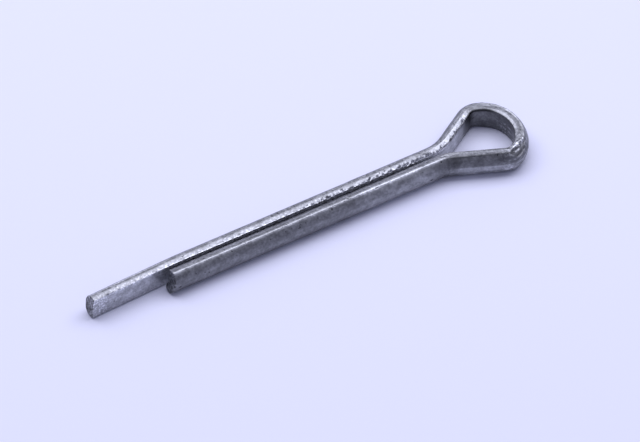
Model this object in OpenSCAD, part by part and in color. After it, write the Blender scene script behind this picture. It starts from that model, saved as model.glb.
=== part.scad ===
// Cotter pin: one length of half-round wire folded double, with an open eye at
// the fold and the flat faces of its two legs turned to each other. The long leg
// runs on past the short one as a prong, for spreading. The pin lies on its side
// on the plane Z = 0, its legs along X, its eye at +X and its long leg at +Y.

/* [Wire] */
// Height of the wire over its two rolled sides
wire_h = 3.7; // [2.6:0.05:5]
// Thickness of the wire, from its flat face to the top of its round back
wire_w = 2.15; // [1.95:0.05:3]
// Rise of the round back above the outer edges of the two sides
back_rise = 1.05; // [0.8:0.05:1.2]
// Width of the bevel that rolling leaves between a side and the round back
bevel_w = 0.15; // [0.05:0.05:0.35]
// Slope of that bevel
bevel_slope = 24; // [10:1:30]
// Width of the slope that eases each side down to the flat face
ease_w = 0.7; // [0.2:0.05:0.9]
// Drop of that slope at the flat face
ease_drop = 0.22; // [0.05:0.01:0.35]
// How much fuller than its straight lengths the wire is where bending swells it
swell = 0.01; // [0.005:0.005:0.03]

/* [Legs] */
// Straight length of the short leg, from its end to its neck
short_leg = 44.3; // [20:0.1:90]
// Gap between the flat faces of the two legs
leg_gap = 0.7; // [0.2:0.05:2]
// Reach of the long leg past the end of the short one
prong_reach = 12.3; // [3:0.1:25]
// Lean of the prong towards the short leg's side
prong_lean = 2.5; // [0.5:0.1:4]
// Radius of the bend that leans the prong, at the flat face
lean_r = 90; // [30:5:150]
// Distance from the short leg's end back to where the lean starts
lean_back = 3.5; // [1:0.1:6]

/* [Eye] */
// Angle at which the long leg flares out into the eye
long_flare = 32; // [20:0.5:50]
// Angle at which the short leg flares out into the eye
short_flare = 24; // [18:0.5:40]
// Radius on the back of the wire where the long leg flares out
long_neck_r = 5.65; // [0.5:0.05:7]
// Radius on the back of the wire where the short leg flares out
short_neck_r = 2.9; // [0.5:0.05:6]
// Inside radius of the eye's two shoulders
shoulder_r = 1.2; // [0.6:0.05:3]
// Angle that each shoulder turns
shoulder_turn = 58; // [40:0.5:75]
// Inside radius of the crown between the shoulders
crown_r = 4.9; // [3.5:0.05:8]
// Offset of the crown from the middle of the gap, towards the long leg
crown_offset = 0.2; // [-1:0.05:1]

/* [Ends] */
// Rake of the sheared ends: each end's lower edge stands out furthest
end_rake = 4; // [0:0.5:12]
// Width of the corner that shearing turns over on the back of the long leg
long_turned = 0.25; // [0.1:0.05:0.8]
// Width of the corner that shearing turns over on the back of the short leg
short_turned = 0.45; // [0.1:0.05:0.8]

/* [Hidden] */
$fn = 96;

// The round back is an arc over the outer edges of the sides and the wire's full thickness.
side_w = wire_w - back_rise;
back_r = (pow(back_rise, 2) + pow(wire_h / 2, 2)) / (2 * back_rise);
bevel_reach = bevel_w + 2 * back_rise;
// Half of the rolled outline, from the flat face outwards, ending beyond the arc of the back.
half_outline = [
    [0, wire_h / 2 - ease_drop],
    [ease_w, wire_h / 2],
    [side_w - bevel_w, wire_h / 2],
    [side_w - bevel_w + bevel_reach, wire_h / 2 - bevel_reach * tan(bevel_slope)]
];

// How far unswollen wire runs into the swollen bends beside it, so that they are one.
seat = 0.05;
// How far cutters run past what they cut.
clear = 1;

// Radii of the two necks at the flat face.
long_neck_turn_r = long_neck_r + wire_w;
short_neck_turn_r = short_neck_r + wire_w;

// The slant of the wire where a shoulder that follows this flare meets the crown.
function crown_slant(flare) = flare - shoulder_turn;
// How long a flare has to be for the crown's middle to stand this far to its side of the gap.
function flare_length(offset, neck_turn_r, flare) = (
    offset - leg_gap / 2 - neck_turn_r * (1 - cos(flare))
    + (crown_r - shoulder_r) * cos(crown_slant(flare)) + shoulder_r * cos(flare)
) / sin(flare);
// The way along X from a leg's neck to the crown's middle.
function neck_to_crown(neck_turn_r, flare, length) =
    (neck_turn_r + shoulder_r) * sin(flare) + length * cos(flare)
    + (crown_r - shoulder_r) * sin(crown_slant(flare));

// X is counted from the short leg's end here, and Y from the middle of the gap.
long_flare_len = flare_length(crown_offset, long_neck_turn_r, long_flare);
short_flare_len = flare_length(-crown_offset, short_neck_turn_r, short_flare);
crown_x = short_leg + neck_to_crown(short_neck_turn_r, short_flare, short_flare_len);
crown_turn = 180 + crown_slant(long_flare) + crown_slant(short_flare);
long_leg = crown_x - neck_to_crown(long_neck_turn_r, long_flare, long_flare_len) - lean_back;
lean_way = lean_r * [sin(prong_lean), 1 - cos(prong_lean)];
prong = (prong_reach + lean_back - lean_way.x) / cos(prong_lean);

// How far the inside of the eye reaches from the crown's middle to a flare's side: to the
// shoulder, or to the crown where the shoulder turns too little to be the widest part.
function eye_reach(flare) = crown_slant(flare) < 0
    ? shoulder_r + (crown_r - shoulder_r) * cos(crown_slant(flare))
    : crown_r;
// The pin's middle in plan stands over the origin.
middle = [
    (crown_x + crown_r + wire_w - prong_reach) / 2,
    crown_offset + (eye_reach(long_flare) - eye_reach(short_flare)) / 2
];

// The wire's section: flat face on the Y axis, back towards +X, height along Y.
// fuller is how far its outline stands out all round.
module wire_section(fuller) {
    upper = [for (point = half_outline) point + [point.x == 0 ? -fuller : 0, fuller]];
    lower = [for (i = [len(upper) - 1 : -1 : 0]) [upper[i].x, -upper[i].y]];
    intersection() {
        polygon(concat(upper, lower));
        translate([wire_w - back_r, 0]) circle(r = back_r + fuller);
    }
}

// A straight length of wire along +X with its back on the left, then what follows it.
module straight(length) {
    translate([-seat, 0, 0]) rotate([90, 0, 90])
        linear_extrude(length + 2 * seat) wire_section(0);
    translate([length, 0, 0]) children();
}

// A bend to the left, about the wire's back, then what follows it. r is at the flat face.
module bend_left(r, turn) {
    translate([0, r, 0]) {
        rotate_extrude(angle = turn, start = -90)
            translate([r, 0]) mirror([1, 0]) wire_section(swell);
        rotate([0, 0, turn]) translate([0, -r, 0]) children();
    }
}

// A bend to the right, about the flat face, then what follows it. r is at the flat face.
module bend_right(r, turn) {
    translate([0, -r, 0]) {
        rotate_extrude(angle = turn, start = 90 - turn)
            translate([r, 0]) wire_section(swell);
        rotate([0, 0, -turn]) translate([0, r, 0]) children();
    }
}

// A wide bend to the right that leaves the wire unswollen, then what follows it.
module wide_bend_right(r, turn) {
    seat_turn = seat / r * 180 / PI;
    translate([0, -r, 0]) {
        rotate_extrude(angle = turn + 2 * seat_turn, start = 90 - turn - seat_turn)
            translate([r, 0]) wire_section(0);
        rotate([0, 0, -turn]) translate([0, r, 0]) children();
    }
}

// What shearing takes off a leg that ends at X = 0: all past a raked face, lowest
// edge furthest out, and the corner turned over on the wire's back.
module sheared_off(turned) {
    translate([0, -clear, -wire_h / 2]) rotate([0, -end_rake, 0])
        translate([0, 0, -clear]) cube([wire_w, wire_w + 2 * clear, wire_h + 3 * clear]);
    translate([-turned, wire_w, -wire_h / 2 - clear]) rotate([0, 0, -45])
        cube([2 * wire_w, wire_w, wire_h + 2 * clear]);
}

// A straight length of wire that ends where the shears cut it.
module sheared(length, turned) {
    difference() {
        straight(length);
        translate([length, 0, 0]) sheared_off(turned);
    }
}

module cotter_pin() {
    color("#8b8d97")
    translate([lean_back - lean_way.x - middle.x, leg_gap / 2 - lean_way.y - middle.y, wire_h / 2 + swell])
    rotate([0, 0, prong_lean]) {
        // outwards from the start of the lean to the long leg's end
        mirror([1, 0, 0]) sheared(prong, long_turned);
        // and the other way, up the long leg, round the eye and down the short leg
        bend_right(lean_r, prong_lean)
            straight(long_leg)
            bend_left(long_neck_turn_r, long_flare)
            straight(long_flare_len)
            bend_right(shoulder_r, shoulder_turn)
            wide_bend_right(crown_r, crown_turn)
            bend_right(shoulder_r, shoulder_turn)
            straight(short_flare_len)
            bend_left(short_neck_turn_r, short_flare)
            sheared(short_leg, short_turned);
    }
}

cotter_pin();
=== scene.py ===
import math

import bpy
import numpy as np
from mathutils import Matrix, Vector


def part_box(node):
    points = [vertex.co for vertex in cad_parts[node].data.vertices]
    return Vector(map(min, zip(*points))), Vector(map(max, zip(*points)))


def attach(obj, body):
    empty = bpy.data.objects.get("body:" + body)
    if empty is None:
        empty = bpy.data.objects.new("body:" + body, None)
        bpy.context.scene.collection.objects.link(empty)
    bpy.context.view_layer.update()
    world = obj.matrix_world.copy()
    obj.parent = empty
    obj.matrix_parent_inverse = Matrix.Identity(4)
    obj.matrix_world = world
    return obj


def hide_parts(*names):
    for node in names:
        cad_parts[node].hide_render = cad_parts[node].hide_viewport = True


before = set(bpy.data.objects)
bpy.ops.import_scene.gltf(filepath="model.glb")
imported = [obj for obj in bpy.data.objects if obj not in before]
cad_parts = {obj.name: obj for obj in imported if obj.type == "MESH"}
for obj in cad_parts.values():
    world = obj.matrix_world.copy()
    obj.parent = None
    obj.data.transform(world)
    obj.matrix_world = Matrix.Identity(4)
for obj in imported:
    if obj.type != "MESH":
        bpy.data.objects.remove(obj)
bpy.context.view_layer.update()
scene = bpy.context.scene
print("packed frame loaded")

mm = 0.001
mathNode = "ShaderNodeMath"
vectorNode = "ShaderNodeVectorMath"
rangeNode = "ShaderNodeMapRange"
noiseNode = "ShaderNodeTexNoise"
joinNode = "ShaderNodeCombineXYZ"
splitNode = "ShaderNodeSeparateXYZ"


def srgb(hexCode):
    # a colour given as an sRGB hex value, turned to linear light
    parts = [int(hexCode[i:i + 2], 16) / 255 for i in (1, 3, 5)]
    linear = [c / 12.92 if c <= 0.04045 else ((c + 0.055) / 1.055) ** 2.4 for c in parts]
    return (*linear, 1.0)


def addNode(tree, kind, feeds=None, **settings):
    # feeds maps an input's name or number to a value, or to the node or socket that drives it
    node = tree.nodes.new(kind)
    for key, value in settings.items():
        setattr(node, key, value)
    for key, value in (feeds or {}).items():
        if isinstance(value, bpy.types.Node):
            value = value.outputs[0]
        if isinstance(value, bpy.types.NodeSocket):
            tree.links.new(value, node.inputs[key])
        else:
            node.inputs[key].default_value = value
    return node


def wayTo(azimuth, elevation):
    # the way from the pin, as a vector, at this azimuth, 0 in front and 90 at +X, and elevation
    turn, rise = math.radians(azimuth), math.radians(elevation)
    return Vector((math.sin(turn) * math.cos(rise), -math.cos(turn) * math.cos(rise), math.sin(rise)))


# camera: a long lens, so that the two legs stay parallel in its view
cameraSet = {
    "azimuth": -31.1,
    "elevation": 45.0,
    "lens": 800.0,
    "sensor": 36.0,
    "viewWidth": 90.69 * mm,  # what it takes in at the pin
    "aim": (1.763 * mm, -0.63 * mm, 0.371 * mm),
    "nearest": 0.1,  # where its view starts and ends, in distances to the pin
    "furthest": 4.0,
}


def placeCamera(size):
    data = bpy.data.cameras.new("camera")
    data.lens = size["lens"]
    data.sensor_width = size["sensor"]
    camera = bpy.data.objects.new("camera", data)
    scene.collection.objects.link(camera)
    back = wayTo(size["azimuth"], size["elevation"])
    distance = size["viewWidth"] * size["lens"] / size["sensor"]
    camera.location = Vector(size["aim"]) + back * distance
    camera.rotation_mode = "QUATERNION"
    camera.rotation_quaternion = (-back).to_track_quat("-Z", "Y")
    data.clip_start, data.clip_end = distance * size["nearest"], distance * size["furthest"]
    scene.camera = camera


placeCamera(cameraSet)
print("camera placed")

# floor and light: a big soft lamp high up and a little behind, and a dim one low down behind
studioSet = {
    "floorColor": "#eaebf8",
    "floorRoughness": 0.9,
    "floorShine": 0.1,
    "floorWidth": 3.0,
    "worldColor": "#8a8ca4",
    "worldStrength": 1.05,
    "lampColor": (0.955, 0.97, 1.14),
    "lamps": {
        "overhead": {
            "azimuth": 150.0, "elevation": 69.5, "distance": 0.6,
            "width": 1.25, "depth": 0.5, "watts": 4.5},
        "behind": {
            "azimuth": 168.0, "elevation": 19.5, "distance": 0.8,
            "width": 1.34, "depth": 0.55, "watts": 0.5},
    },
}


def mattePaper(size):
    # matte paper: pale, a little blue, and with next to no shine
    paper = bpy.data.materials.new("mattePaper")
    paper.use_nodes = True
    shader = paper.node_tree.nodes["Principled BSDF"]
    shader.inputs["Base Color"].default_value = srgb(size["floorColor"])
    shader.inputs["Roughness"].default_value = size["floorRoughness"]
    shader.inputs["Specular IOR Level"].default_value = size["floorShine"]
    return paper


def layFloor(size):
    half = size["floorWidth"] / 2
    corners = [(-half, -half, 0), (half, -half, 0), (half, half, 0), (-half, half, 0)]
    mesh = bpy.data.meshes.new("floor")
    mesh.from_pydata(corners, [], [(0, 1, 2, 3)])
    mesh.materials.append(mattePaper(size))
    floor = bpy.data.objects.new("floor", mesh)
    scene.collection.objects.link(floor)


def hangLamps(size):
    for name, place in size["lamps"].items():
        data = bpy.data.lights.new(name, "AREA")
        data.shape, data.size, data.size_y = "RECTANGLE", place["width"], place["depth"]
        data.energy = place["watts"]
        data.color = size["lampColor"]
        lamp = bpy.data.objects.new(name, data)
        scene.collection.objects.link(lamp)
        toward = wayTo(place["azimuth"], place["elevation"])
        lamp.location = toward * place["distance"]
        lamp.rotation_mode = "QUATERNION"
        lamp.rotation_quaternion = toward.to_track_quat("Z", "Y")


def paintWorld(size):
    world = bpy.data.worlds.new("studio")
    scene.world = world
    world.use_nodes = True
    tree = world.node_tree
    tree.nodes.clear()
    around = addNode(tree, "ShaderNodeBackground", {
        "Color": srgb(size["worldColor"]), "Strength": size["worldStrength"]})
    addNode(tree, "ShaderNodeOutputWorld", {"Surface": around})


layFloor(studioSet)
hangLamps(studioSet)
paintWorld(studioSet)
scene.view_settings.view_transform = "Standard"
print("floor and lamps set")


# one length of half-round wire, bent, and what wear has done to it; millimetres and degrees
pinSet = {
    # the rolled section
    "wireHeight": 3.7,
    "wireThickness": 2.14,
    "backRise": 1.05,
    "bevelWidth": 0.15,
    "bevelSlope": 24.0,
    "easeWidth": 0.6,
    "easeDrop": 0.22,
    "cornerRounding": 0.03,
    # how finely it is drawn, and how much its points gather where it bends
    "bevelStep": 0.001,
    "backPoints": 90,
    "outlineSteps": 4096,
    "pointsAround": 84,
    "gathering": 0.45,
    # the route
    "shortLeg": 44.3,
    "legGap": 0.7,
    "prongReach": 12.3,
    "prongLean": 2.5,
    "leanRadius": 90.0,
    "leanBack": 3.5,
    "longFlare": 32.0,
    "shortFlare": 24.0,
    "longNeckRadius": 5.65,
    "shortNeckRadius": 2.9,
    "shoulderRadius": 1.2,
    "shoulderTurn": 58.0,
    "crownRadius": 4.9,
    "crownOffset": 0.2,
    "ringSpacing": 0.13,
    # the chord of the crown beyond which its corner was struck: the way it faces, and how far
    # it is from the crown's middle
    "chordFaces": -64.7,
    "chordDistance": 5.49,
    # angles and numbers that are inputs of the node tree, each under its name in words
    "angles": {
        "longRake": 4.0,
        "shortRake": 11.0,
        "chordSlope": 37.0,
        "scratchSlant": 38.0,
    },
    "numbers": {
        # the ends: the short leg's stands out by its reach, the corner that shearing turned over
        # blends into the sheared face, and the rings along the fade make room for both
        "shortReach": 0.46,
        "longTurned": 0.3,
        "shortTurned": 0.5,
        "turnedBlend": 0.25,
        "endRounding": 0.14,
        "endFade": 5.0,
        # the rings that close an end draw in by a power of their number to its middle, which is
        # this share of the thickness out; the sheared look comes in over the edge's rings, and
        # points within the merge distance become one
        "capRings": 14,
        "edgeRings": 2,
        "capPower": 1.7,
        "capMiddle": 0.45,
        "mergeDistance": 0.0005,
        # round the eye: places on the section, outwards from the flat face, between which it
        # fills out, and how high
        "eyeThinning": 0.12,
        "bevelStart": 0.94,
        "bevelCrest": 1.1,
        "bevelEnd": 1.37,
        "bevelFill": 0.07,
        "cornerCrest": 1.45,
        "cornerEnd": 1.95,
        "cornerFill": 0.28,
        # the turned-down inner edge, which comes in between a foot and a top: heights off the
        # wire's middle, here and below
        "burrDrop": 0.14,
        "burrWidth": 0.8,
        "rimDrop": 0.14,
        "rimWidth": 0.42,
        "downFoot": 1.0,
        "downTop": 1.6,
        # bites are where a noise, made weaker away from the edge, is over a limit, and they
        # reach their full depth where it is over by their wall
        "seed": 3.7,
        "biteReach": 0.6,
        "awayFromEdge": -0.3,
        "shallowLimit": 0.53,
        "deepLimit": 0.46,
        "biteWall": 0.09,
        "shallowBite": 0.1,
        "deepBite": 0.24,
        "biteFoot": 0.8,
        "biteTop": 1.4,
        # how deep marks in the skin are; the scratches have a share of their depth at the foot
        "waveDepth": 0.025,
        "dentDepth": 0.03,
        "scratchDepth": 0.07,
        "scratchShare": 0.5,
        "scratchFoot": -1.2,
        "scratchTop": 0.8,
        # how far the struck corner's chord wanders to either side
        "chordWander": 0.1,
    },
    # noises: a stretch under 1 draws one out that way, the scale counts it to a millimetre, and
    # it comes in between its low and its high values
    "noises": {
        "bite": {"stretch": (1, 1, 1), "scale": 1.6, "detail": 3.0, "roughness": 0.7},
        "wave": {
            "stretch": (0.35, 1, 1), "scale": 0.8, "detail": 1.0, "roughness": 0.5,
            "low": 0.3, "high": 0.75},
        "dent": {
            "stretch": (1, 1, 1), "scale": 2.3, "detail": 2.0, "roughness": 0.6,
            "low": 0.48, "high": 0.75},
        "scratch": {
            "stretch": (0.4, 2.6, 1.4), "scale": 1.2, "detail": 3.0, "roughness": 0.65,
            "low": 0.45, "high": 0.62},
        "struck": {
            "stretch": (1, 1, 1), "scale": 1.6, "detail": 2.0, "roughness": 0.6,
            "low": 0.3, "high": 0.7},
    },
    # distances along the wire between which it is worn in each way: from, full, fades, ends
    "wornStretches": {
        "Eye": (66.0, 70.5, 87.0, 91.0),
        "Burred": (50.0, 56.0, 65.5, 68.5),
        "Rimmed": (68.5, 71.0, 76.5, 79.0),
        "Crisp": (76.0, 78.5, 86.0, 88.5),
        "Crown": (66.0, 69.0, 76.5, 78.5),
        "Nicked": (0.8, 3.0, 66.0, 69.0),
        "Bitten": (34.0, 40.0, 60.0, 67.0),
        "Scratched": (74.5, 76.5, 78.0, 79.5),
    },
}


def flareLength(size, offset, neckRadius, flare):
    # as long as sets the crown's middle at its offset from the gap
    slant = flare - math.radians(size["shoulderTurn"])
    rise = offset - size["legGap"] / 2 - neckRadius * (1 - math.cos(flare))
    rise += (size["crownRadius"] - size["shoulderRadius"]) * math.cos(slant)
    return (rise + size["shoulderRadius"] * math.cos(flare)) / math.sin(flare)


def neckToCrown(size, neckRadius, flare, length):
    slant = flare - math.radians(size["shoulderTurn"])
    along = (neckRadius + size["shoulderRadius"]) * math.sin(flare) + length * math.cos(flare)
    return along + (size["crownRadius"] - size["shoulderRadius"]) * math.sin(slant)


def planRoute(size):
    # the flat face's line from the prong's tip to the short leg's end: its start, its
    # heading there, and each stretch's name, length and turn; and the crown's middle
    lean, turn = math.radians(size["prongLean"]), math.radians(size["shoulderTurn"])
    longFlare, shortFlare = math.radians(size["longFlare"]), math.radians(size["shortFlare"])
    longNeck = size["longNeckRadius"] + size["wireThickness"]
    shortNeck = size["shortNeckRadius"] + size["wireThickness"]
    longLength = flareLength(size, size["crownOffset"], longNeck, longFlare)
    shortLength = flareLength(size, -size["crownOffset"], shortNeck, shortFlare)
    crownX = size["shortLeg"] + neckToCrown(size, shortNeck, shortFlare, shortLength)
    longLeg = crownX - neckToCrown(size, longNeck, longFlare, longLength) - size["leanBack"]
    leanX, leanY = size["leanRadius"] * math.sin(lean), size["leanRadius"] * (1 - math.cos(lean))
    prong = (size["prongReach"] + size["leanBack"] - leanX) / math.cos(lean)
    crownTurn = math.pi + longFlare + shortFlare - 2 * turn
    stretches = [
        ("Prong", prong, 0),
        ("Lean", size["leanRadius"] * lean, -lean),
        ("Long Leg", longLeg, 0),
        ("Long Neck", longNeck * longFlare, longFlare),
        ("Long Flare", longLength, 0),
        ("Long Shoulder", size["shoulderRadius"] * turn, -turn),
        ("Crown", size["crownRadius"] * crownTurn, -crownTurn),
        ("Short Shoulder", size["shoulderRadius"] * turn, -turn),
        ("Short Flare", shortLength, 0),
        ("Short Neck", shortNeck * shortFlare, shortFlare),
        ("Short Leg", size["shortLeg"], 0),
    ]
    reach = [
        size["shoulderRadius"] + (size["crownRadius"] - size["shoulderRadius"]) * math.cos(flare - turn)
        for flare in (longFlare, shortFlare)
    ]
    middle = (
        (crownX + size["crownRadius"] + size["wireThickness"] - size["prongReach"]) / 2,
        size["crownOffset"] + (reach[0] - reach[1]) / 2,
    )
    start = (-size["prongReach"] - middle[0],
             size["legGap"] / 2 - leanY - prong * math.sin(lean) - middle[1])
    crown = (crownX - middle[0], size["crownOffset"] - middle[1])
    return start, lean, stretches, crown


def sharpOutline(size):
    # half-round, from the middle of the flat face round and back to it: x outwards, y up
    half, sideWidth = size["wireHeight"] / 2, size["wireThickness"] - size["backRise"]
    backRadius = (size["backRise"] ** 2 + half ** 2) / (2 * size["backRise"])
    backMiddle = size["wireThickness"] - backRadius
    slope = math.tan(math.radians(size["bevelSlope"]))
    bevelStart = sideWidth - size["bevelWidth"]
    x = sideWidth
    while math.hypot(x - backMiddle, half - (x - bevelStart) * slope) > backRadius:
        x += size["bevelStep"]  # along the bevel until it meets the round back
    meet = math.atan2(half - (x - bevelStart) * slope, x - backMiddle)
    corners = [(0, 0), (0, half - size["easeDrop"]), (size["easeWidth"], half), (bevelStart, half)]
    turns = np.linspace(meet, 0, size["backPoints"])
    arc = [(backMiddle + backRadius * math.cos(t), backRadius * math.sin(t)) for t in turns]
    upper = np.array(corners + arc)
    return np.concatenate([upper, (upper * (1, -1))[-2:0:-1], upper[:1]])


def sectionPoints(size):
    # the outline with its corners rounded, as points closest together where it bends most;
    # x and y are the two parts of a complex number
    outline = sharpOutline(size)
    reach = np.concatenate([[0], np.cumsum(np.hypot(*np.diff(outline, axis=0).T))])
    count = size["outlineSteps"]
    even = np.linspace(0, reach[-1], count, endpoint=False)
    fine = np.interp(even, reach, outline[:, 0]) + 1j * np.interp(even, reach, outline[:, 1])
    # rounding: a bell-shaped average along the outline
    wave = np.fft.fftfreq(count, reach[-1] / count)
    bell = np.exp(-2 * (math.pi * wave * size["cornerRounding"]) ** 2)
    fine = np.fft.ifft(np.fft.fft(fine) * bell)
    # each step weighs its own length, and the gathering by how far the outline turns there
    step = np.roll(fine, -1) - fine
    turn = np.abs(np.angle(np.roll(step, -1) / step))
    weight = np.abs(step) / reach[-1] + size["gathering"] * turn / turn.sum()
    share = np.concatenate([[0], np.cumsum(weight)]) / weight.sum()
    wanted = np.arange(size["pointsAround"]) / size["pointsAround"]
    around = np.append(fine, fine[0])
    return [(np.interp(at, share, around.real), np.interp(at, share, around.imag)) for at in wanted]


def makeSection(size):
    mesh = bpy.data.meshes.new("wireSection")
    mesh.from_pydata([(x, y, 0) for x, y in sectionPoints(size)], [], [])
    section = bpy.data.objects.new("wireSection", mesh)
    scene.collection.objects.link(section)
    return section


# In the node trees a point has three measures in millimetres: along the wire, out from its flat
# face and up from its middle. The attribute wireSpace keeps them as they were before bending and
# wear, for the patterns of the skin and of its look.


def inWords(key):
    # the name of an input: easeWidth gives Ease Width
    return "".join(" " + letter if letter.isupper() else letter for letter in key).title()


def nameInputs(tree, values):
    # adds the tree's inputs, and returns each one's socket by name
    kinds = {int: "NodeSocketInt", float: "NodeSocketFloat",
             bpy.types.Object: "NodeSocketObject", bpy.types.Material: "NodeSocketMaterial"}
    for name, value in values.items():
        tree.interface.new_socket(name, in_out="INPUT", socket_type=kinds[type(value)])
    tree.interface.new_socket("Mesh", in_out="OUTPUT", socket_type="NodeSocketGeometry")
    group = tree.nodes.new("NodeGroupInput")
    return {name: group.outputs[name] for name in values}


def aheadAt(tree, heading):
    # the way ahead at a heading, as a vector
    cosine = addNode(tree, mathNode, {0: heading}, operation="COSINE")
    sine = addNode(tree, mathNode, {0: heading}, operation="SINE")
    return addNode(tree, joinNode, {"X": cosine, "Y": sine})


def layLine(tree, fed, bends):
    # the flat face's line: at each ring of the wire its place, and the way ahead
    index = addNode(tree, "GeometryNodeInputIndex")
    along = addNode(tree, mathNode, {0: index, 1: fed["Ring Spacing"]}, operation="MULTIPLY")
    heading = fed["Start Heading"]
    for bend in bends:  # every bend that the wire has passed adds its turn
        turned = addNode(tree, rangeNode, {
            "Value": along, "From Min": fed[bend + " Start"], "From Max": fed[bend + " End"],
            "To Min": 0.0, "To Max": fed[bend + " Turn"]})
        heading = addNode(tree, mathNode, {0: heading, 1: turned})
    ahead = aheadAt(tree, heading)
    # steps ahead, added up; each is half at one ring's heading and half at the next's
    walked = addNode(tree, "GeometryNodeAccumulateField", {0: ahead}, data_type="FLOAT_VECTOR")
    atStart = aheadAt(tree, fed["Start Heading"])
    change = addNode(tree, vectorNode, {0: ahead, 1: atStart}, operation="SUBTRACT")
    halfChange = addNode(tree, vectorNode, {0: change, "Scale": 0.5}, operation="SCALE")
    steps = addNode(tree, vectorNode, {0: walked.outputs["Trailing"], 1: halfChange})
    place = addNode(tree, vectorNode, {0: steps, "Scale": fed["Ring Spacing"]}, operation="SCALE")
    return place, ahead


def gridPlaces(tree, fed):
    # the grid has one column for each point of the section and one row for each ring; more
    # rows before the first ring and after the last one close the ends
    columns = addNode(tree, mathNode, {0: fed["Points Around"], 1: 1.0})
    rows = addNode(tree, mathNode, {
        0: fed["Cap Rings"], 1: 2.0, 2: fed["Rings"]}, operation="MULTIPLY_ADD")
    grid = addNode(tree, "GeometryNodeMeshGrid", {"Vertices X": rows, "Vertices Y": columns})
    index = addNode(tree, "GeometryNodeInputIndex")
    rowShare = addNode(tree, mathNode, {0: index, 1: columns}, operation="DIVIDE")
    row = addNode(tree, mathNode, {0: rowShare}, operation="FLOOR")
    column = addNode(tree, mathNode, {0: index, 1: columns}, operation="MODULO")
    point = addNode(tree, mathNode, {0: column, 1: fed["Points Around"]}, operation="MODULO")
    lastRing = addNode(tree, mathNode, {0: fed["Rings"], 1: 1.0}, operation="SUBTRACT")
    rowPast = addNode(tree, mathNode, {0: row, 1: fed["Cap Rings"]}, operation="SUBTRACT")
    ring = addNode(tree, "ShaderNodeClamp", {"Value": rowPast, "Min": 0.0, "Max": lastRing})
    overrun = addNode(tree, mathNode, {0: rowPast, 1: ring}, operation="SUBTRACT")
    capSteps = addNode(tree, mathNode, {0: overrun}, operation="ABSOLUTE")
    capShare = addNode(tree, mathNode, {0: capSteps, 1: fed["Cap Rings"]}, operation="DIVIDE")
    return grid, point, ring, lastRing, capShare


def sectionPlaces(tree, fed, point, capShare):
    # where a point is in the section, outwards and up, drawn in towards the middle in the
    # closed ends; and how far it is drawn in
    section = addNode(tree, "GeometryNodeObjectInfo", {
        "Object": fed["Section"]}, transform_space="ORIGINAL")
    outline = addNode(tree, "GeometryNodeInputPosition")
    corner = addNode(tree, "GeometryNodeSampleIndex", {
        0: section.outputs["Geometry"], 1: outline, 2: point}, data_type="FLOAT_VECTOR")
    middleX = addNode(tree, mathNode, {
        0: fed["Wire Thickness"], 1: fed["Cap Middle"]}, operation="MULTIPLY")
    middle = addNode(tree, joinNode, {"X": middleX})
    toMiddle = addNode(tree, vectorNode, {0: middle, 1: corner}, operation="SUBTRACT")
    inset = addNode(tree, mathNode, {0: capShare, 1: fed["Cap Power"]}, operation="POWER")
    drawnIn = addNode(tree, vectorNode, {0: toMiddle, "Scale": inset}, operation="SCALE")
    depth = addNode(tree, vectorNode, {0: drawnIn}, operation="LENGTH")
    place = addNode(tree, splitNode, {0: addNode(tree, vectorNode, {0: corner, 1: drawnIn})})
    return place.outputs["X"], place.outputs["Y"], depth.outputs["Value"]


def standBack(tree, fed, shortHalf, out, up, depth):
    # how far a sheared face stands back at a point: for its rake, for the corner turned over on
    # the wire's back and for the rounding of its edge; the short leg's reaches out again
    height = addNode(tree, mathNode, {0: fed["Wire Height"], 1: 0.5, 2: up}, operation="MULTIPLY_ADD")
    rake = addNode(tree, rangeNode, {
        "Value": shortHalf, "To Min": fed["Long Rake"], "To Max": fed["Short Rake"]})
    steepness = addNode(tree, mathNode, {0: rake}, operation="TANGENT")
    raked = addNode(tree, mathNode, {0: height, 1: steepness}, operation="MULTIPLY")
    turned = addNode(tree, rangeNode, {
        "Value": shortHalf, "To Min": fed["Long Turned"], "To Max": fed["Short Turned"]})
    cornerStart = addNode(tree, mathNode, {0: fed["Wire Thickness"], 1: turned}, operation="SUBTRACT")
    cornerBack = addNode(tree, mathNode, {0: out, 1: cornerStart}, operation="SUBTRACT")
    sheared = addNode(tree, mathNode, {
        0: raked, 1: cornerBack, 2: fed["Turned Blend"]}, operation="SMOOTH_MAX")
    inward = addNode(tree, mathNode, {0: fed["End Rounding"], 1: depth}, operation="SUBTRACT")
    left = addNode(tree, mathNode, {0: inward, 1: 0.0}, operation="MAXIMUM")
    leftSquare = addNode(tree, mathNode, {0: left, 1: 2.0}, operation="POWER")
    roundSquare = addNode(tree, mathNode, {0: fed["End Rounding"], 1: 2.0}, operation="POWER")
    riseSquare = addNode(tree, mathNode, {0: roundSquare, 1: leftSquare}, operation="SUBTRACT")
    rise = addNode(tree, mathNode, {0: riseSquare}, operation="SQRT")
    edge = addNode(tree, mathNode, {0: sheared, 1: fed["End Rounding"]})
    rounded = addNode(tree, mathNode, {0: edge, 1: rise}, operation="SUBTRACT")
    reach = addNode(tree, mathNode, {0: shortHalf, 1: fed["Short Reach"]}, operation="MULTIPLY")
    return addNode(tree, mathNode, {0: rounded, 1: reach}, operation="SUBTRACT")


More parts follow.
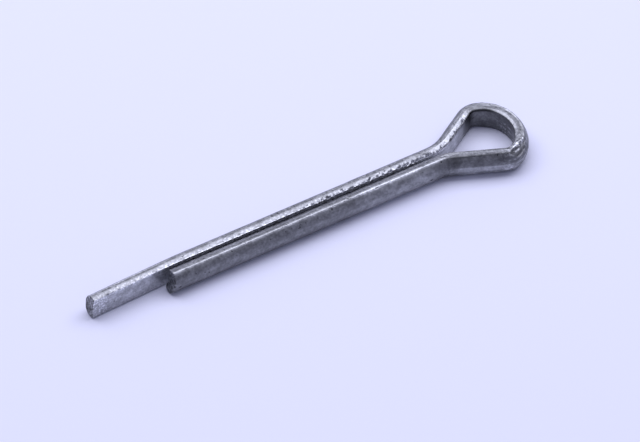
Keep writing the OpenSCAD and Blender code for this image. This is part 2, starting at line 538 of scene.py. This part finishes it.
def shearEnds(tree, fed, ring, lastRing, out, up, depth):
    # how far a point moves along the wire for its end, where the rings near a sheared face make
    # room for it, and the point's place along the wire after that
    ringTwice = addNode(tree, mathNode, {0: ring, 1: 2.0}, operation="MULTIPLY")
    shortHalf = addNode(tree, mathNode, {0: ringTwice, 1: lastRing}, operation="GREATER_THAN")
    back = standBack(tree, fed, shortHalf, out, up, depth)
    fromStart = addNode(tree, mathNode, {0: ring, 1: fed["Ring Spacing"]}, operation="MULTIPLY")
    ringsLeft = addNode(tree, mathNode, {0: lastRing, 1: ring}, operation="SUBTRACT")
    fromEnd = addNode(tree, mathNode, {0: ringsLeft, 1: fed["Ring Spacing"]}, operation="MULTIPLY")
    nearer = addNode(tree, mathNode, {0: fromStart, 1: fromEnd}, operation="MINIMUM")
    fade = addNode(tree, rangeNode, {
        "Value": nearer, "From Max": fed["End Fade"], "To Min": 1.0, "To Max": 0.0},
        interpolation_type="SMOOTHSTEP")
    inwards = addNode(tree, rangeNode, {"Value": shortHalf, "To Min": 1.0, "To Max": -1.0})
    backHere = addNode(tree, mathNode, {0: back, 1: fade}, operation="MULTIPLY")
    shift = addNode(tree, mathNode, {0: backHere, 1: inwards}, operation="MULTIPLY")
    return shift, addNode(tree, mathNode, {0: fromStart, 1: shift})


def inStretch(tree, value, marks):
    # rises from 0 to 1 between the first two marks and falls again between the last two
    rise, fall = (
        addNode(tree, rangeNode, {"Value": value, "From Min": low, "From Max": high},
                interpolation_type="SMOOTHSTEP")
        for low, high in (marks[:2], marks[2:])
    )
    return addNode(tree, mathNode, {0: rise, 1: fall}, operation="SUBTRACT")


def wornHere(tree, fed, along, wear):
    # 1 on the stretch of wire that has this wear and 0 off it
    return inStretch(tree, along, [fed[wear + mark] for mark in (" From", " Full", " Fades", " Ends")])


def tent(tree, value, start, peak, end):
    # rises from 0 at start to 1 at the peak and falls to 0 at end
    rise = addNode(tree, rangeNode, {"Value": value, "From Min": start, "From Max": peak})
    fall = addNode(tree, rangeNode, {"Value": value, "From Min": end, "From Max": peak})
    return addNode(tree, mathNode, {0: rise, 1: fall}, operation="MINIMUM")


def fillOut(tree, fed, along, out):
    # how much higher the bevels are on the eye's short side and, round the crown, the outer
    # corner behind them
    highest = 0.0
    for wear, part in (("Crisp", "Bevel"), ("Crown", "Corner")):
        hump = tent(tree, out, fed["Bevel Start"], fed[part + " Crest"], fed[part + " End"])
        here = addNode(tree, mathNode, {0: hump, 1: wornHere(tree, fed, along, wear)}, operation="MULTIPLY")
        height = addNode(tree, mathNode, {0: here, 1: fed[part + " Fill"]}, operation="MULTIPLY")
        highest = addNode(tree, mathNode, {0: highest, 1: height}, operation="MAXIMUM")
    return highest


def turnDown(tree, fed, along, out):
    # how far the inner edge is turned down: as a burr on the long leg's neck and flare, and as
    # a rim on the crown
    down = 0.0
    for wear, part in (("Burred", "Burr"), ("Rimmed", "Rim")):
        slope = addNode(tree, rangeNode, {
            "Value": out, "From Max": fed[part + " Width"], "To Min": fed[part + " Drop"], "To Max": 0.0})
        here = addNode(tree, mathNode, {0: slope, 1: wornHere(tree, fed, along, wear)}, operation="MULTIPLY")
        down = addNode(tree, mathNode, {0: down, 1: here})
    return down


def workSection(tree, fed, along, out, up):
    # what bending has made of the rolled section: round the eye it is thinner, its eased inner
    # edges, its bevels and its outer corner have filled out, and its inner edge is turned down
    inEye = wornHere(tree, fed, along, "Eye")
    thinner = addNode(tree, rangeNode, {
        "Value": out, "From Max": fed["Wire Thickness"], "To Min": fed["Eye Thinning"], "To Max": 0.0})
    outward = addNode(tree, mathNode, {0: thinner, 1: inEye, 2: out}, operation="MULTIPLY_ADD")
    filled = addNode(tree, rangeNode, {
        "Value": out, "From Max": fed["Ease Width"], "To Min": fed["Ease Filled"], "To Max": 0.0})
    grow = addNode(tree, mathNode, {0: filled, 1: inEye, 2: 1.0}, operation="MULTIPLY_ADD")
    grown = addNode(tree, mathNode, {0: up, 1: grow}, operation="MULTIPLY")
    offMiddle = addNode(tree, mathNode, {0: grown}, operation="ABSOLUTE")
    fuller = addNode(tree, mathNode, {0: offMiddle, 1: fillOut(tree, fed, along, out)})
    halfHeight = addNode(tree, mathNode, {0: fed["Wire Height"], 1: 0.5}, operation="MULTIPLY")
    level = addNode(tree, mathNode, {0: fuller, 1: halfHeight}, operation="MINIMUM")
    onSide = addNode(tree, rangeNode, {
        "Value": level, "From Min": fed["Down Foot"], "From Max": fed["Down Top"]})
    down = addNode(tree, mathNode, {0: turnDown(tree, fed, along, out), 1: onSide}, operation="MULTIPLY")
    height = addNode(tree, mathNode, {0: level, 1: down}, operation="SUBTRACT")
    upSide = addNode(tree, mathNode, {0: up}, operation="SIGN")
    return outward, addNode(tree, mathNode, {0: height, 1: upSide}, operation="MULTIPLY")


def noiseOver(tree, space, recipe):
    # a noise that fills this space, drawn out as its recipe says
    stretched = addNode(tree, vectorNode, {0: space, 1: recipe["stretch"]}, operation="MULTIPLY")
    return addNode(tree, noiseNode, {
        "Vector": stretched, "Scale": recipe["scale"], "Detail": recipe["detail"],
        "Roughness": recipe["roughness"]})


def biteEdge(tree, fed, noises, along, out, up):
    # how deep bites are torn out of the upper inner edge: where a noise is high, most of all
    # beside the edge
    place = addNode(tree, joinNode, {"X": along, "Y": out, "Z": fed["Seed"]})
    bites = noiseOver(tree, place, noises["bite"])
    nearEdge = addNode(tree, rangeNode, {
        "Value": out, "From Max": fed["Bite Reach"], "To Min": 0.0, "To Max": fed["Away From Edge"]})
    bitten = addNode(tree, mathNode, {0: bites, 1: nearEdge})
    worn = wornHere(tree, fed, along, "Bitten")
    limit = addNode(tree, rangeNode, {
        "Value": worn, "To Min": fed["Shallow Limit"], "To Max": fed["Deep Limit"]})
    over = addNode(tree, mathNode, {0: bitten, 1: limit}, operation="SUBTRACT")
    shape = addNode(tree, rangeNode, {"Value": over, "From Max": fed["Bite Wall"]})
    depth = addNode(tree, rangeNode, {
        "Value": worn, "To Min": fed["Shallow Bite"], "To Max": fed["Deep Bite"]})
    onTop = addNode(tree, rangeNode, {
        "Value": up, "From Min": fed["Bite Foot"], "From Max": fed["Bite Top"]})
    for factor in (depth, onTop, wornHere(tree, fed, along, "Nicked")):
        shape = addNode(tree, mathNode, {0: shape, 1: factor}, operation="MULTIPLY")
    return shape


def roughenSkin(tree, fed, noises, geometry):
    # long waves, dents and, round the eye's short side, short slanting scratches from a tool,
    # all cut into the surface along its normals
    space = addNode(tree, "GeometryNodeInputNamedAttribute", {
        "Name": "wireSpace"}, data_type="FLOAT_VECTOR")
    split = addNode(tree, splitNode, {0: space})
    slanted = addNode(tree, "ShaderNodeVectorRotate", {
        "Vector": space, "Angle": fed["Scratch Slant"]}, rotation_type="Z_AXIS")
    wave, dent, scratch = (
        addNode(tree, rangeNode, {
            "Value": noiseOver(tree, place, noises[mark]),
            "From Min": noises[mark]["low"], "From Max": noises[mark]["high"],
            "To Max": fed[inWords(mark) + " Depth"]})
        for mark, place in (("wave", space), ("dent", space), ("scratch", slanted))
    )
    skin = addNode(tree, mathNode, {0: wave, 1: dent})
    onTop = addNode(tree, rangeNode, {
        "Value": split.outputs["Z"], "From Min": fed["Scratch Foot"], "From Max": fed["Scratch Top"],
        "To Min": fed["Scratch Share"]})
    for factor in (onTop, wornHere(tree, fed, split.outputs["X"], "Scratched")):
        scratch = addNode(tree, mathNode, {0: scratch, 1: factor}, operation="MULTIPLY")
    marked = addNode(tree, mathNode, {0: scratch, 1: skin})
    inward = addNode(tree, mathNode, {0: marked, 1: -1.0}, operation="MULTIPLY")
    normal = addNode(tree, "GeometryNodeInputNormal")
    moved = addNode(tree, vectorNode, {0: normal, "Scale": inward}, operation="SCALE")
    return addNode(tree, "GeometryNodeSetPosition", {"Geometry": geometry, "Offset": moved})


def cutCorner(tree, fed, noises, surface):
    # where the eye's outer corner was struck, on the short leg's side: beyond a straight chord
    # of the crown the upper side falls away in a slope
    across = addNode(tree, joinNode, {"X": fed["Chord X"], "Y": fed["Chord Y"]})
    outward = addNode(tree, vectorNode, {0: surface, 1: across}, operation="DOT_PRODUCT")
    past = addNode(tree, mathNode, {
        0: outward.outputs["Value"], 1: fed["Chord Distance"]}, operation="SUBTRACT")
    dips = addNode(tree, mathNode, {0: fed["Chord Wander"], 1: -1.0}, operation="MULTIPLY")
    uneven = addNode(tree, rangeNode, {
        "Value": noiseOver(tree, surface, noises["struck"]),
        "From Min": noises["struck"]["low"], "From Max": noises["struck"]["high"],
        "To Min": dips, "To Max": fed["Chord Wander"]})
    beyond = addNode(tree, mathNode, {0: past, 1: uneven})
    slope = addNode(tree, mathNode, {0: fed["Chord Slope"]}, operation="TANGENT")
    fall = addNode(tree, mathNode, {0: beyond, 1: slope}, operation="MULTIPLY")
    top = addNode(tree, mathNode, {
        0: fed["Wire Height"], 1: 0.5, 2: fed["Start Z"]}, operation="MULTIPLY_ADD")
    allowed = addNode(tree, mathNode, {0: top, 1: fall}, operation="SUBTRACT")
    place = addNode(tree, splitNode, {0: surface}).outputs
    height = addNode(tree, mathNode, {0: place["Z"], 1: allowed}, operation="MINIMUM")
    return addNode(tree, joinNode, {"X": place["X"], "Y": place["Y"], "Z": height})


def placeSurface(tree, fed, bends, ring, out, up, shift):
    # from the line to the surface: outwards, up and, near the ends, along by the shift
    line = addNode(tree, "GeometryNodeMeshLine", {"Count": fed["Rings"]})
    onLine, ahead = (
        addNode(tree, "GeometryNodeSampleIndex", {0: line, 1: field, 2: ring}, data_type="FLOAT_VECTOR")
        for field in layLine(tree, fed, bends)
    )
    upward = addNode(tree, joinNode, {"Z": 1.0})
    outward = addNode(tree, vectorNode, {0: upward, 1: ahead}, operation="CROSS_PRODUCT")
    surface = addNode(tree, joinNode, {
        "X": fed["Start X"], "Y": fed["Start Y"], "Z": fed["Start Z"]})
    surface = addNode(tree, vectorNode, {0: surface, 1: onLine})
    for way, distance in ((outward, out), (upward, up), (ahead, shift)):
        step = addNode(tree, vectorNode, {0: way, "Scale": distance}, operation="SCALE")
        surface = addNode(tree, vectorNode, {0: surface, 1: step})
    return surface


def bendTree(size, values, bends):
    tree = bpy.data.node_groups.new("bentWire", "GeometryNodeTree")
    fed, noises = nameInputs(tree, values), size["noises"]
    grid, point, ring, lastRing, capShare = gridPlaces(tree, fed)
    out, up, depth = sectionPlaces(tree, fed, point, capShare)
    shift, along = shearEnds(tree, fed, ring, lastRing, out, up, depth)
    wireSpace = addNode(tree, joinNode, {"X": along, "Y": out, "Z": up})
    outward, height = workSection(tree, fed, along, out, up)
    bite = biteEdge(tree, fed, noises, along, out, up)
    upward = addNode(tree, mathNode, {0: height, 1: bite}, operation="SUBTRACT")
    surface = placeSurface(tree, fed, bends, ring, outward, upward, shift)
    surface = cutCorner(tree, fed, noises, surface)

    edgeShare = addNode(tree, mathNode, {0: fed["Edge Rings"], 1: fed["Cap Rings"]}, operation="DIVIDE")
    endFace = addNode(tree, rangeNode, {"Value": capShare, "From Max": edgeShare})
    kept = grid.outputs["Mesh"]
    for name, field, kind in (("wireSpace", wireSpace, "FLOAT_VECTOR"), ("endFace", endFace, "FLOAT")):
        kept = addNode(tree, "GeometryNodeStoreNamedAttribute", {
            "Geometry": kept, "Name": name, "Value": field}, data_type=kind, domain="POINT")
    shaped = addNode(tree, "GeometryNodeSetPosition", {"Geometry": kept, "Position": surface})
    closed = addNode(tree, "GeometryNodeMergeByDistance", {
        "Geometry": shaped, "Distance": fed["Merge Distance"]})
    rough = roughenSkin(tree, fed, noises, closed)
    place = addNode(tree, "GeometryNodeInputPosition")
    inMetres = addNode(tree, vectorNode, {0: place, "Scale": mm}, operation="SCALE")
    sized = addNode(tree, "GeometryNodeSetPosition", {"Geometry": rough, "Position": inMetres})
    smooth = addNode(tree, "GeometryNodeSetShadeSmooth", {"Geometry": sized})
    real = addNode(tree, "GeometryNodeRealizeInstances", {"Geometry": smooth})
    dressed = addNode(tree, "GeometryNodeSetMaterial", {"Geometry": real, "Material": fed["Material"]})
    addNode(tree, "NodeGroupOutput", {0: dressed})
    return tree


# pairs of marks off the wire, for patches that run on to its ends or edges
first, last = (-9, -8), (200, 201)

# look of the rolled steel: its patterns are counted to a millimetre, and the finest are drawn
# coarser than real mill scale, whose grains of some 0.02 mm would be too fine to see
steelSet = {
    "skin": "#868789",
    "endShade": 0.35,
    "sideRoughness": 0.34,
    "backRoughness": 0.56,
    "roughnessSpread": 0.06,  # to either side
    "backStarts": (1.0, 1.4),  # millimetres outwards, from the side to the back
    "bumpHeight": 0.006,  # millimetres
    "pitDepth": -3.0,  # in bump heights
    # the values of the grain's noise, or the pits', between which each of these comes in
    "speckGrains": (0.5, 0.62),
    "spotGrains": (0.4, 0.6),
    "raisedGrains": (0.25, 0.75),
    "sunkPits": (0.66, 0.74),
    # noises, and what each makes of the shade at its low and at its high values
    "patterns": {
        "blotches": {
            "stretch": (1, 1, 1), "scale": 0.9, "detail": 3.0, "roughness": 0.5,
            "low": 0.3, "high": 0.7, "shades": (0.76, 1.24)},
        "grains": {
            "stretch": (1, 1, 1), "scale": 2.8, "detail": 3.0, "roughness": 0.6,
            "low": 0.3, "high": 0.7, "shades": (0.74, 1.26)},
        "streaks": {
            "stretch": (0.12, 1, 1), "scale": 2.2, "detail": 2.0, "roughness": 0.5,
            "low": 0.35, "high": 0.65, "shades": (0.92, 1.08)},
        "pits": {
            "stretch": (1, 1, 1), "scale": 1.5, "detail": 1.0, "roughness": 0.5,
            "low": 0.71, "high": 0.76, "shades": (1.0, 0.35)},
    },
    # where the skin is lighter or darker, in some patches rubbed by wear and in others painted light
    # and painted shade: what that makes of the shade, and where it is along the wire, outwards and up:
    # from, full, fades and ends
    "patches": [
        # inner edge of the long leg, rubbed and lightened further as a painted highlight, and most of all
        # its very rim beside the short leg
        {"shade": 1.3, "along": (*first, 56, 60), "out": (*first, 0.4, 0.55), "up": (1.3, 1.5, *last)},
        {"shade": 2.2, "along": (10, 16, 55, 58), "out": (*first, 0.03, 0.08), "up": (1.05, 1.3, *last)},
        # burr on its neck and flare, lightened as a painted highlight, and the rim of the burr beside the
        # gap, darkened as painted shade
        {"shade": 1.9, "along": (55, 59, 65.5, 66.8), "out": (*first, 0.65, 0.8), "up": (1.2, 1.4, *last)},
        {"shade": 0.35, "along": (57, 61, 69, 71), "out": (*first, 0.12, 0.24), "up": (1.2, 1.4, *last)},
        # inner edge of the long shoulder, and rim of the crown, lightened as a painted highlight
        {"shade": 0.65, "along": (65, 67, 68.5, 70.5), "out": (*first, 0.5, 0.7), "up": (1.2, 1.4, *last)},
        {"shade": 1.3, "along": (69.5, 73, 78, 79), "out": (0.12, 0.2, 0.4, 0.6), "up": (1.3, 1.5, *last)},
        # outer corner of the long shoulder
        {"shade": 1.75, "along": (66, 69, 72, 74), "out": (1.05, 1.25, *last), "up": (0.8, 1.1, *last)},
        # inner edge of the short leg: a stretch of its rim darkened as the gap's painted shadow, and its
        # slope lightened as a painted highlight
        {"shade": 0.45, "along": (94, 98, 113, 119), "out": (*first, 0.16, 0.36), "up": (1.1, 1.3, *last)},
        {"shade": 1.7, "along": (87, 90, *last), "out": (0.1, 0.25, 0.55, 0.65), "up": (1.2, 1.4, *last)},
        # level sides of the long leg and of the short leg, darkened as painted shade
        {"shade": 0.86, "along": (1, 6, 50, 56), "out": (0.6, 0.7, 0.9, 1.0), "up": (1.2, 1.4, *last)},
        {"shade": 0.75, "along": (87, 90, *last), "out": (0.55, 0.65, 0.9, 1.0), "up": (1.2, 1.4, *last)},
        # bevels of the long leg, of the prong and of the short leg, lightened as painted highlights, and
        # the bevel of the short flare, darkened as painted shade so that it reads as part of the dark wall
        {"shade": 1.4, "along": (*first, 64, 69), "out": (0.9, 0.98, 1.15, 1.3), "up": (1.2, 1.5, *last)},
        {"shade": 1.8, "along": (*first, 8, 15), "out": (0.95, 1.05, 1.35, 1.6), "up": (1.0, 1.3, *last)},
        {"shade": 1.5, "along": (87, 90, *last), "out": (0.96, 1.04, 1.26, 1.4), "up": (1.1, 1.4, *last)},
        {"shade": 0.5, "along": (77, 79, 86, 89), "out": (0.88, 1.0, 1.2, 1.3), "up": (1.2, 1.5, *last)},
        # flat faces of the prong, of the long leg, of its neck and flare and of the short leg, lightened
        # as painted light reflected into the gap between the legs and onto the prong's face, and the flat
        # face inside the eye, darker
        {"shade": 1.8, "along": (*first, 10, 14), "out": (*first, 0.04, 0.12)},
        {"shade": 2.1, "along": (10, 14, 55, 58), "out": (*first, 0.04, 0.12)},
        {"shade": 1.85, "along": (55, 58, 62, 66), "out": (*first, 0.04, 0.12)},
        {"shade": 2.6, "along": (87, 89, *last), "out": (*first, 0.04, 0.12)},
        {"shade": 0.6, "along": (64, 66, 82, 84), "out": (*first, 0.04, 0.12)},
        # short leg next to its neck, rubbed, and the back of the neck
        {"shade": 1.4, "along": (86, 90, 100, 106), "out": (0.6, 0.8, *last)},
        {"shade": 0.65, "along": (84.5, 87, 89, 92), "out": (1.1, 1.3, *last)},
        # back of the short flare: darker above, as a painted reflection of the dim room, and lighter
        # below, as a painted reflection of the floor
        {"shade": 0.8, "along": (77, 79, 86, 89), "out": (1.05, 1.15, *last), "up": (0.25, 0.55, *last)},
        {"shade": 1.65, "along": (77, 79, 86, 89), "out": (1.05, 1.15, *last), "up": (-1.6, -1.1, 0.2, 0.5)},
        # back of the crown, and its struck corner
        {"shade": 1.45, "along": (70, 72, 75, 77), "out": (1.05, 1.2, *last)},
        {"shade": 0.92, "along": (75.5, 77, 79, 80.5), "out": (0.6, 0.7, *last)},
    ],
    # bright specks, where the grain's noise is high: how much brighter, and where
    "specks": [
        # on the flat face of the prong's tip, and on the inner edge of the long leg
        {"glint": 0.6, "along": (*first, 1.5, 3.5), "out": (*first, 0.05, 0.1)},
        {"glint": 0.4, "along": (*first, 66, 68), "out": (*first, 0.45, 0.6), "up": (1.2, 1.4, *last)},
        # low on the flat face inside the crown
        {"glint": 1.2, "along": (70, 72, 76, 77), "out": (*first, 0.05, 0.1), "up": (*first, 0.2, 0.6)},
        # on the struck corner, and less on the back below it
        {"glint": 1.4, "along": (75.5, 76.5, 78.5, 80), "out": (0.3, 0.5, 1.2, 1.5),
         "up": (-1.2, -0.6, *last)},
        {"glint": 0.6, "along": (75.5, 76.5, 78.5, 80), "out": (1.0, 1.4, *last), "up": (-1.2, -0.6, *last)},
    ],
}


def inPatch(tree, split, patch):
    # 1 inside the patch and 0 off it: the product of its windows along the three directions
    inside = 1.0
    for axis, way in zip(split.outputs, ("along", "out", "up")):
        if way in patch:
            window = inStretch(tree, axis, patch[way])
            inside = addNode(tree, mathNode, {0: window, 1: inside}, operation="MULTIPLY")
    return inside


def shadeSkin(tree, look, split, noises):
    # how light the skin is, as a factor: its patterns, its patches of wear, painted light and painted
    # shade, and its specks
    shade = 1.0
    for name, pattern in look["patterns"].items():
        atLow, atHigh = pattern["shades"]
        share = addNode(tree, rangeNode, {
            "Value": noises[name], "From Min": pattern["low"], "From Max": pattern["high"],
            "To Min": atLow, "To Max": atHigh})
        shade = addNode(tree, mathNode, {0: share, 1: shade}, operation="MULTIPLY")
    for patch in look["patches"]:
        factor = addNode(tree, rangeNode, {
            "Value": inPatch(tree, split, patch), "To Min": 1.0, "To Max": patch["shade"]})
        shade = addNode(tree, mathNode, {0: shade, 1: factor}, operation="MULTIPLY")
    low, high = look["speckGrains"]
    speck = addNode(tree, rangeNode, {"Value": noises["grains"], "From Min": low, "From Max": high})
    for patch in look["specks"]:
        there = addNode(tree, mathNode, {0: inPatch(tree, split, patch), 1: speck}, operation="MULTIPLY")
        brighter = addNode(tree, mathNode, {0: there, 1: patch["glint"], 2: 1.0}, operation="MULTIPLY_ADD")
        shade = addNode(tree, mathNode, {0: shade, 1: brighter}, operation="MULTIPLY")
    return shade


def shadeEnds(tree, look, noises):
    # the sheared ends are darker, in spots
    low, high = look["spotGrains"]
    spotted = addNode(tree, rangeNode, {
        "Value": noises["grains"], "From Min": low, "From Max": high, "To Min": look["endShade"]})
    onEnd = addNode(tree, "ShaderNodeAttribute", attribute_name="endFace").outputs["Fac"]
    return addNode(tree, rangeNode, {"Value": onEnd, "To Min": 1.0, "To Max": spotted})


def dullSkin(tree, look, split, noises):
    # roughness: the back is duller than the sides, and the grain shows in the gloss too
    low, high = look["backStarts"]
    dullness = addNode(tree, rangeNode, {
        "Value": split.outputs["Y"], "From Min": low, "From Max": high,
        "To Min": look["sideRoughness"], "To Max": look["backRoughness"]})
    grains, spread = look["patterns"]["grains"], look["roughnessSpread"]
    uneven = addNode(tree, rangeNode, {
        "Value": noises["grains"], "From Min": grains["low"], "From Max": grains["high"],
        "To Min": -spread, "To Max": spread})
    return addNode(tree, mathNode, {0: dullness, 1: uneven})


def grainBump(tree, look, noises):
    low, high = look["raisedGrains"]
    raised = addNode(tree, rangeNode, {"Value": noises["grains"], "From Min": low, "From Max": high})
    low, high = look["sunkPits"]
    sunk = addNode(tree, rangeNode, {
        "Value": noises["pits"], "From Min": low, "From Max": high, "To Max": look["pitDepth"]})
    relief = addNode(tree, mathNode, {0: raised, 1: sunk})
    return addNode(tree, "ShaderNodeBump", {"Height": relief, "Distance": look["bumpHeight"] * mm})


def rolledSteel(look):
    # cold-rolled wire: a dull grey skin, lighter where it is rubbed and darker inside the eye, with
    # painted highlights, painted shade and painted reflections in patches, and with blotches, grain,
    # streaks from the rolls and a few dark pits
    steel = bpy.data.materials.new("rolledSteel")
    steel.use_nodes = True
    tree = steel.node_tree
    space = addNode(tree, "ShaderNodeAttribute", attribute_name="wireSpace").outputs["Vector"]
    split = addNode(tree, splitNode, {0: space})
    noises = {name: noiseOver(tree, space, pattern) for name, pattern in look["patterns"].items()}
    skinShade = shadeSkin(tree, look, split, noises)
    endShade = shadeEnds(tree, look, noises)
    shade = addNode(tree, mathNode, {0: skinShade, 1: endShade}, operation="MULTIPLY")
    color = addNode(tree, vectorNode, {0: srgb(look["skin"])[:3], "Scale": shade}, operation="SCALE")
    shader = tree.nodes["Principled BSDF"]
    shader.inputs["Metallic"].default_value = 1.0
    for name, source in (("Base Color", color), ("Roughness", dullSkin(tree, look, split, noises)),
                         ("Normal", grainBump(tree, look, noises))):
        tree.links.new(source.outputs[0], shader.inputs[name])
    return steel


def treeValues(size):
    # the node tree's inputs, and the names of the stretches that bend
    (startX, startY), startHeading, stretches, crown = planRoute(size)
    length = sum(stretch[1] for stretch in stretches)
    rings = round(length / size["ringSpacing"]) + 1
    chord = math.radians(size["chordFaces"])
    chord = (math.cos(chord), math.sin(chord))
    values = {
        "Section": makeSection(size),
        "Points Around": size["pointsAround"],
        "Rings": rings,
        "Ring Spacing": length / (rings - 1),
        "Wire Height": size["wireHeight"],
        "Wire Thickness": size["wireThickness"],
        "Ease Width": size["easeWidth"],
        "Ease Filled": size["easeDrop"] / (size["wireHeight"] / 2 - size["easeDrop"]),
        "Start X": startX,
        "Start Y": startY,
        "Start Z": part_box("cotter_pin")[1][2] / 2 / mm,
        "Start Heading": startHeading,
        "Chord X": chord[0],
        "Chord Y": chord[1],
        "Chord Distance": size["chordDistance"] + chord[0] * crown[0] + chord[1] * crown[1],
        "Material": rolledSteel(steelSet),
    }
    values.update({inWords(key): value for key, value in size["numbers"].items()})
    values.update({inWords(key): math.radians(angle) for key, angle in size["angles"].items()})
    passed, bends = 0, []
    for name, stretch, turn in stretches:
        if turn:
            bends.append(name)
            values.update({name + " Start": passed, name + " End": passed + stretch, name + " Turn": turn})
        passed += stretch
    for wear, marks in size["wornStretches"].items():
        values.update(zip((wear + mark for mark in (" From", " Full", " Fades", " Ends")), marks))
    return values, bends


def bendPin(size):
    values, bends = treeValues(size)
    tree = bendTree(size, values, bends)
    pin = bpy.data.objects.new("bentPin", bpy.data.meshes.new("bentPin"))
    scene.collection.objects.link(pin)
    modifier = pin.modifiers.new("bentWire", "NODES")
    modifier.node_group = tree
    for item in tree.interface.items_tree:
        if item.in_out == "INPUT":
            modifier[item.identifier] = values[item.name]
    made = pin.evaluated_get(bpy.context.evaluated_depsgraph_get())
    mesh = bpy.data.meshes.new_from_object(made)
    pin.modifiers.remove(modifier)
    pin.data = mesh
    bpy.data.objects.remove(values["Section"])
    return pin


pin = bendPin(pinSet)
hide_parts("cotter_pin")
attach(pin, "root")
print("wire bent into the pin:", len(pin.data.polygons), "faces")
